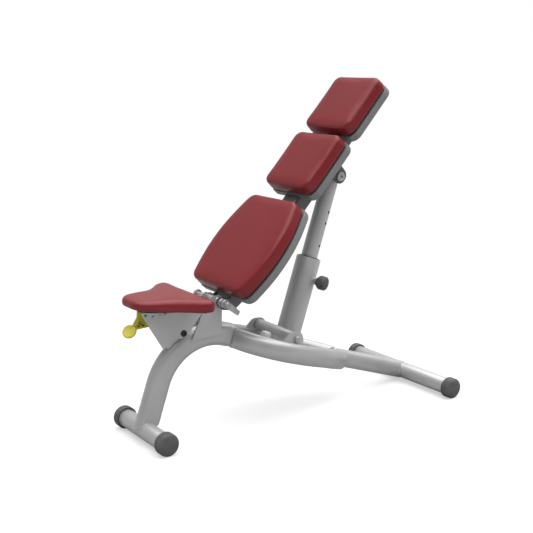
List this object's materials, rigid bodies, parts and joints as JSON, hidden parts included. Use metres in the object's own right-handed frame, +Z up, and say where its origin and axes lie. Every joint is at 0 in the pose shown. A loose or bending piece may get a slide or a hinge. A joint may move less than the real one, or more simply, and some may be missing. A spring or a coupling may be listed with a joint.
{
  "type": "adjustable weight bench",
  "caption": "Adjustable weight bench: hinged pad backrest on a telescopic pop-pin strut, tilting saddle seat with release lever, tube frame that splits into an eye, on cross feet.",
  "frame": {"origin": "on the floor under the middle of the bench's length and width", "axes": "+Z up, +X to the right of a user sitting on the bench, +Y from the seat's nose towards the head end; the backrest is at its steepest position, 48 degrees"},
  "size_m": [0.596, 1.2579, 1.1935],
  "materials": {
    "frame_paint": "silver-grey powder coat, satin",
    "dark_paint": "dark grey powder coat, satin",
    "vinyl": "dark red upholstery vinyl, fine grain",
    "cover_plastic": "grey moulded back cover",
    "black_plastic": "black, matt",
    "foot_rubber": "dark grey rubber",
    "steel": "zinc-plated steel",
    "yellow_plastic": "yellow moulded plastic",
    "bumper_rubber": "pale rubber stop"
  },
  "bodies": {
    "frame": {"front_foot_tube": "frame_paint", "rear_foot_tube": "frame_paint", "front_foot_cap_left": "foot_rubber", "front_foot_cap_right": "foot_rubber", "rear_foot_cap_left": "foot_rubber", "rear_foot_cap_right": "foot_rubber", "eye_tube_left": "frame_paint", "eye_tube_right": "frame_paint", "rear_spine_tube": "frame_paint", "leg_tube": "frame_paint", "hinge_bracket_left": "frame_paint", "hinge_bracket_right": "frame_paint", "hinge_barrel": "steel", "seat_pivot_bush": "steel", "seat_latch_quadrant": "frame_paint", "strut_base_plate": "frame_paint", "strut_bumper": "bumper_rubber", "strut_ear_left": "frame_paint", "strut_ear_right": "frame_paint", "strut_pivot_bolt": "steel", "strut_pivot_nut": "steel"},
    "backrest": {"backrest_spine": "dark_paint", "lumbar_pad": "vinyl", "lumbar_board": "black_plastic", "lumbar_cover": "cover_plastic", "middle_pad": "vinyl", "middle_board": "black_plastic", "middle_cover": "cover_plastic", "head_pad": "vinyl", "head_board": "black_plastic", "head_cover": "cover_plastic", "hinge_lug_left": "dark_paint", "hinge_lug_right": "dark_paint", "hinge_axle": "steel", "axle_collar_left": "steel", "axle_collar_right_inner": "steel", "axle_collar_right_outer": "steel", "stop_tab": "steel", "upper_ear_left": "dark_paint", "upper_ear_right": "dark_paint", "upper_bolt_left": "steel", "upper_bolt_right": "steel"},
    "strut_outer": {"strut_barrel": "frame_paint", "strut_outer_tube": "frame_paint", "strut_guide_bush": "black_plastic", "pin_housing": "steel"},
    "strut_inner": {"strut_inner_tube": "frame_paint", "strut_top_eye": "frame_paint"},
    "pop_pin": {"pop_pin_knob": "foot_rubber", "pop_pin": "steel"},
    "seat": {"seat_plate_left": "frame_paint", "seat_plate_right": "frame_paint", "seat_pivot_bolt": "black_plastic", "lever_pin": "steel", "seat_cross_plate": "frame_paint", "seat_pad": "vinyl", "seat_board": "black_plastic"},
    "lever": {"release_lever": "yellow_plastic", "lever_disc": "yellow_plastic"}
  },
  "joints": [
    {"name": "backrest_tilt", "type": "hinge", "parent": "frame", "child": "backrest", "pos_m": [0, -0.29675, 0.452], "axis": [1, 0, 0], "range_deg": [-48, 0]},
    {"name": "strut_swing", "type": "hinge", "parent": "frame", "child": "strut_outer", "pos_m": [0, -0.02875, 0.294], "axis": [1, 0, 0], "range_deg": [-56.7, 0]},
    {"name": "strut_slide", "type": "slide", "parent": "strut_outer", "child": "strut_inner", "axis": [0, 0.3225, 0.9466], "range_m": [-0.2358, 0]},
    {"name": "pop_pin_pull", "type": "slide", "parent": "strut_outer", "child": "pop_pin", "axis": [0.9063, 0.4, -0.1363], "range_m": [0, 0.012], "stiffness_N_per_m": 800, "springref_m": -0.01},
    {"name": "seat_tilt", "type": "hinge", "parent": "frame", "child": "seat", "pos_m": [0, -0.43475, 0.362], "axis": [-1, 0, 0], "range_deg": [0, 15]},
    {"name": "lever_pull", "type": "hinge", "parent": "seat", "child": "lever", "pos_m": [0, -0.50275, 0.437], "axis": [1, 0, 0], "range_deg": [0, 12], "stiffness_Nm_per_rad": 0.8, "springref_deg": -17.19}
  ],
  "couplings": [
    {"joint": "strut_swing", "follows": "backrest_tilt", "ratio": 1.1802},
    {"joint": "strut_slide", "follows": "backrest_tilt", "m_per_rad": 0.28091}
  ]
}
